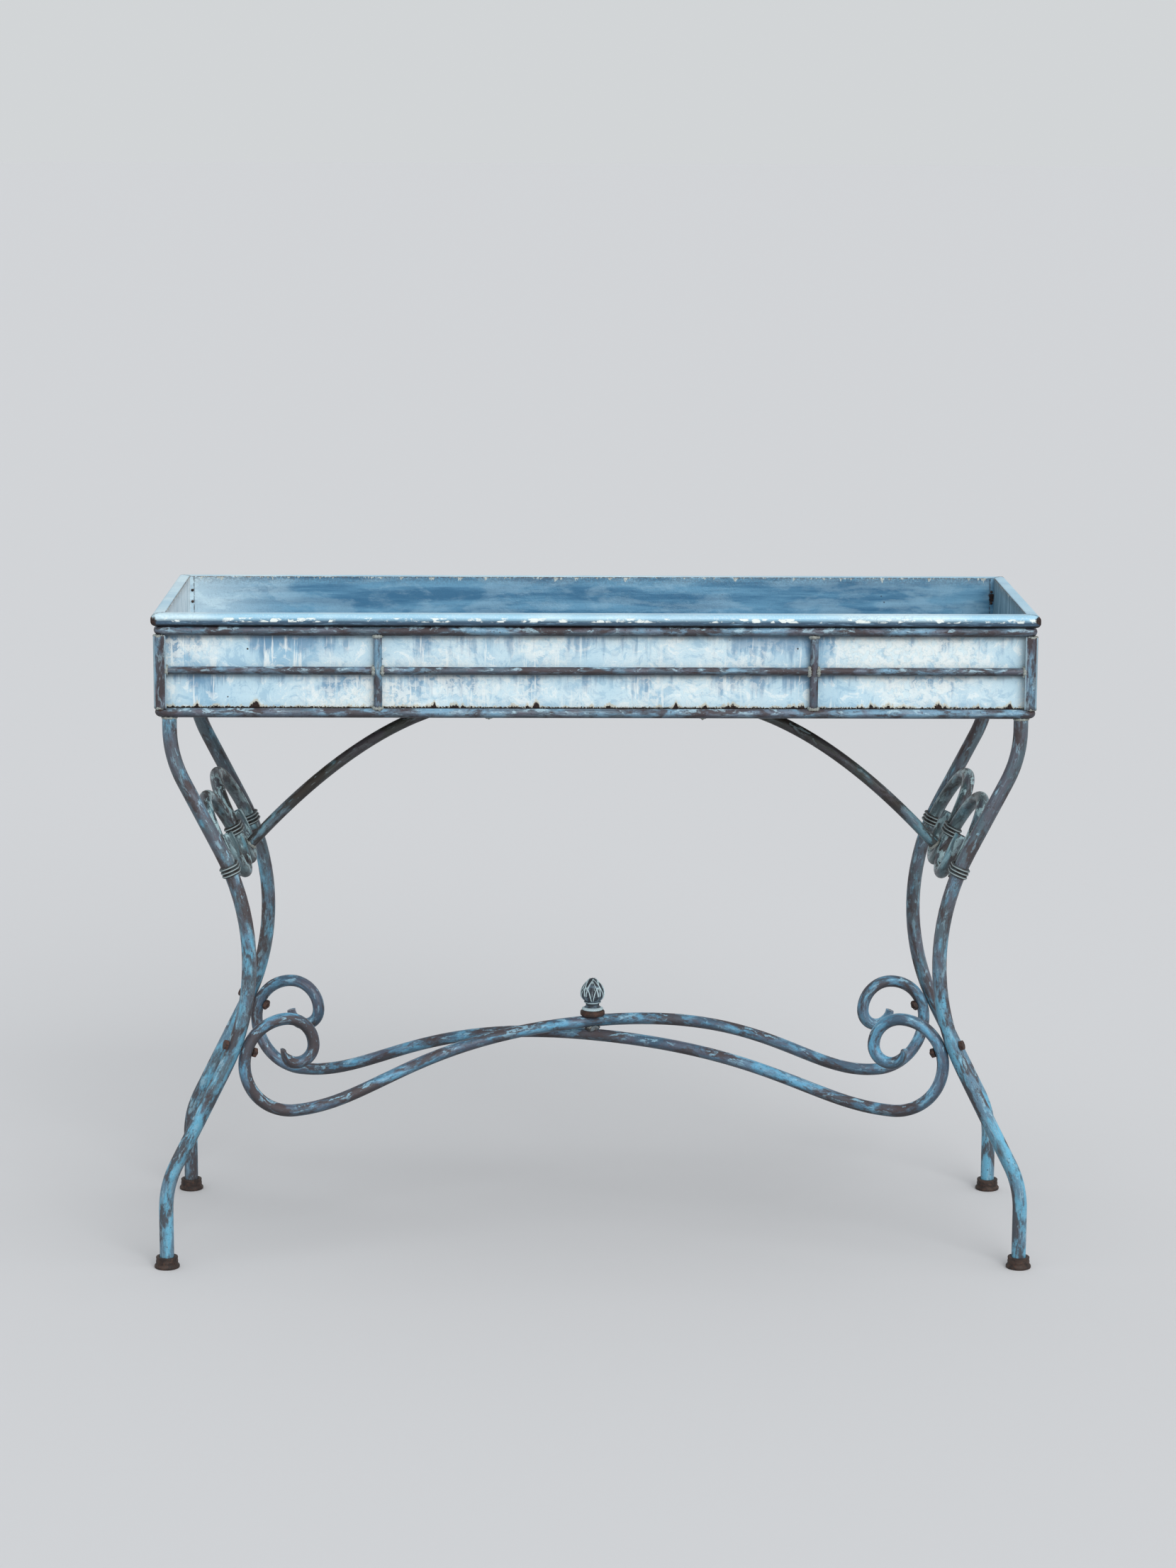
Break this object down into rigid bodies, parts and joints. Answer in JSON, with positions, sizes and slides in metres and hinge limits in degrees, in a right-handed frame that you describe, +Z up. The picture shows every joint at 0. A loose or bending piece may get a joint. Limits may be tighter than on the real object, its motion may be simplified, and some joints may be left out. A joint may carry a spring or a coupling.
{
  "type": "potting bench",
  "caption": "Long metal potting bench: lift-out sheet-metal tray hung in a round-bar cradle on bowed legs, with end scrolls, arched braces and crossing stretchers.",
  "frame": {"origin": "on the floor, under the middle of the bench", "axes": "+X along the bench to the right, +Y from front to rear, +Z up"},
  "size_m": [1.222, 0.415, 0.92],
  "materials": {
    "tray_paint": "weathered pale blue paint over zinc, satin",
    "bar_paint": "worn blue paint over brown-grey steel, satin",
    "collar_iron": "dark grey with rubbed beige ridges, satin",
    "rusty_iron": "dark rust, matte",
    "cast_bud": "dark grey with pale teal on raised edges, satin",
    "foot_cap": "dark brown, matte"
  },
  "bodies": {
    "frame": {"top_rail": "bar_paint", "bottom_rail": "bar_paint", "corner_post_front_left": "bar_paint", "corner_post_front_right": "bar_paint", "corner_post_rear_left": "bar_paint", "corner_post_rear_right": "bar_paint", "upright_front_left": "bar_paint", "upright_front_right": "bar_paint", "upright_rear_left": "bar_paint", "upright_rear_right": "bar_paint", "mid_rod_front_left": "bar_paint", "mid_rod_front_right": "bar_paint", "mid_rod_rear_left": "bar_paint", "mid_rod_rear_right": "bar_paint", "mid_rod_front_centre": "bar_paint", "mid_rod_rear_centre": "bar_paint", "mid_rod_end_left": "bar_paint", "mid_rod_end_right": "bar_paint", "cross_bar_left": "bar_paint", "cross_bar_right": "bar_paint", "leg_front_left": "bar_paint", "leg_front_right": "bar_paint", "leg_rear_left": "bar_paint", "leg_rear_right": "bar_paint", "scroll_front_left": "bar_paint", "scroll_front_right": "bar_paint", "scroll_rear_left": "bar_paint", "scroll_rear_right": "bar_paint", "brace_left": "bar_paint", "brace_right": "bar_paint", "stretcher_upper": "bar_paint", "stretcher_lower": "bar_paint", "collar_front_left": "collar_iron", "collar_front_right": "collar_iron", "collar_rear_left": "collar_iron", "collar_rear_right": "collar_iron", "collar_centre_left": "collar_iron", "collar_centre_right": "collar_iron", "crossing_weld": "rusty_iron", "finial_base": "rusty_iron", "bolt_front_left": "rusty_iron", "bolt_front_right": "rusty_iron", "bolt_rear_left": "rusty_iron", "bolt_rear_right": "rusty_iron", "nut_front_left": "rusty_iron", "nut_front_right": "rusty_iron", "nut_rear_left": "rusty_iron", "nut_rear_right": "rusty_iron", "finial": "cast_bud", "foot_front_left": "foot_cap", "foot_front_right": "foot_cap", "foot_rear_left": "foot_cap", "foot_rear_right": "foot_cap"},
    "tray": {"tray_trough": "tray_paint", "tray_end_left": "tray_paint", "tray_end_right": "tray_paint"}
  },
  "joints": [
    {"name": "tray_lift", "type": "slide", "parent": "frame", "child": "tray", "axis": [0, 0, 1], "range_m": [0, 0.16]}
  ]
}
